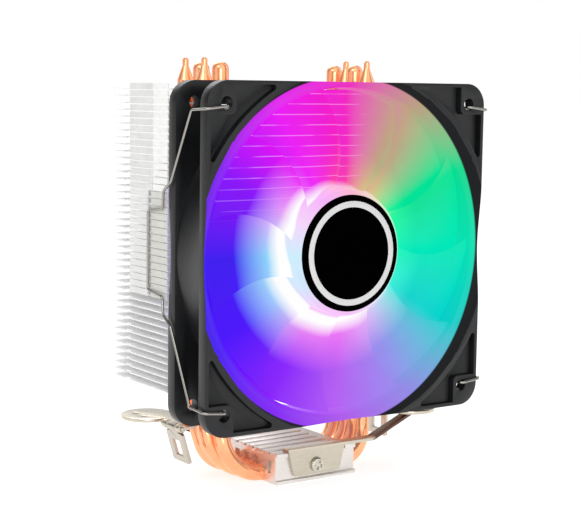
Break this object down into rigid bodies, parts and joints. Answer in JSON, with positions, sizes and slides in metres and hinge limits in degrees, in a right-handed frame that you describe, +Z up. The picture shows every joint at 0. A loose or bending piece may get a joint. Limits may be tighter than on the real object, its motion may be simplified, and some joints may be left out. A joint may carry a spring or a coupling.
{
  "type": "tower cooler",
  "caption": "Tower cooler for a processor: a clipped-on fan blows through a fin stack on bent heat pipes, with swinging hooks for the socket.",
  "frame": {"origin": "centre of the base's contact face", "axes": "+Z up through the fin stack, +Y the way the fan blows, +X to the right for someone facing the fan"},
  "size_m": [0.123, 0.0744, 0.1542],
  "materials": {
    "base_aluminium": "machined",
    "copper": "polished copper",
    "fin_aluminium": "satin sheet",
    "frame_plastic": "satin",
    "milky_plastic": "milky, translucent",
    "cap_plastic": "smooth",
    "ring_foil": "satin",
    "yoke_steel": "drawn sheet",
    "magnet": "matt",
    "shaft_steel": "ground",
    "clip_nylon": "matt",
    "bearing_bronze": "sintered",
    "stator_steel": "laminated",
    "winding": "enamelled wire",
    "board": "solder mask",
    "lamp": "clear",
    "spring_wire": "bright drawn",
    "bracket_steel": "plated sheet",
    "screw_steel": "plated"
  },
  "bodies": {
    "tower": {"base_block": "base_aluminium", "heat_pipe_1": "copper", "heat_pipe_2": "copper", "heat_pipe_3": "copper", "heat_pipe_4": "copper", "fins_lower": "fin_aluminium", "fins_middle": "fin_aluminium", "fins_upper": "fin_aluminium", "fan_frame": "frame_plastic", "bearing_sleeve": "bearing_bronze", "stator_core": "stator_steel", "stator_coils": "winding", "led_board": "board", "leds": "lamp", "bearing_cap": "cap_plastic", "wire_clip_left": "spring_wire", "wire_clip_right": "spring_wire", "front_bracket": "bracket_steel", "rear_bracket": "bracket_steel", "front_screw": "screw_steel", "rear_screw": "screw_steel", "left_hook_pin": "screw_steel", "right_hook_pin": "screw_steel"},
    "rotor": {"impeller": "milky_plastic", "hub_cap": "cap_plastic", "hub_ring": "ring_foil", "rotor_yoke": "yoke_steel", "rotor_magnet": "magnet", "rotor_shaft": "shaft_steel", "shaft_clip": "clip_nylon"},
    "right_hook": {"right_hook": "bracket_steel"},
    "left_hook": {"left_hook": "bracket_steel"}
  },
  "joints": [
    {"name": "rotor_spin", "type": "hinge", "parent": "tower", "child": "rotor", "pos_m": [0, -0.0307, 0.086], "axis": [0, 1, 0], "continuous": true},
    {"name": "right_hook_swing", "type": "hinge", "parent": "tower", "child": "right_hook", "pos_m": [0.0472, 0, 0.021], "axis": [0, 1, 0], "range_deg": [-20, 30]},
    {"name": "left_hook_swing", "type": "hinge", "parent": "tower", "child": "left_hook", "pos_m": [-0.0472, 0, 0.021], "axis": [0, -1, 0], "range_deg": [-37, 13]}
  ]
}
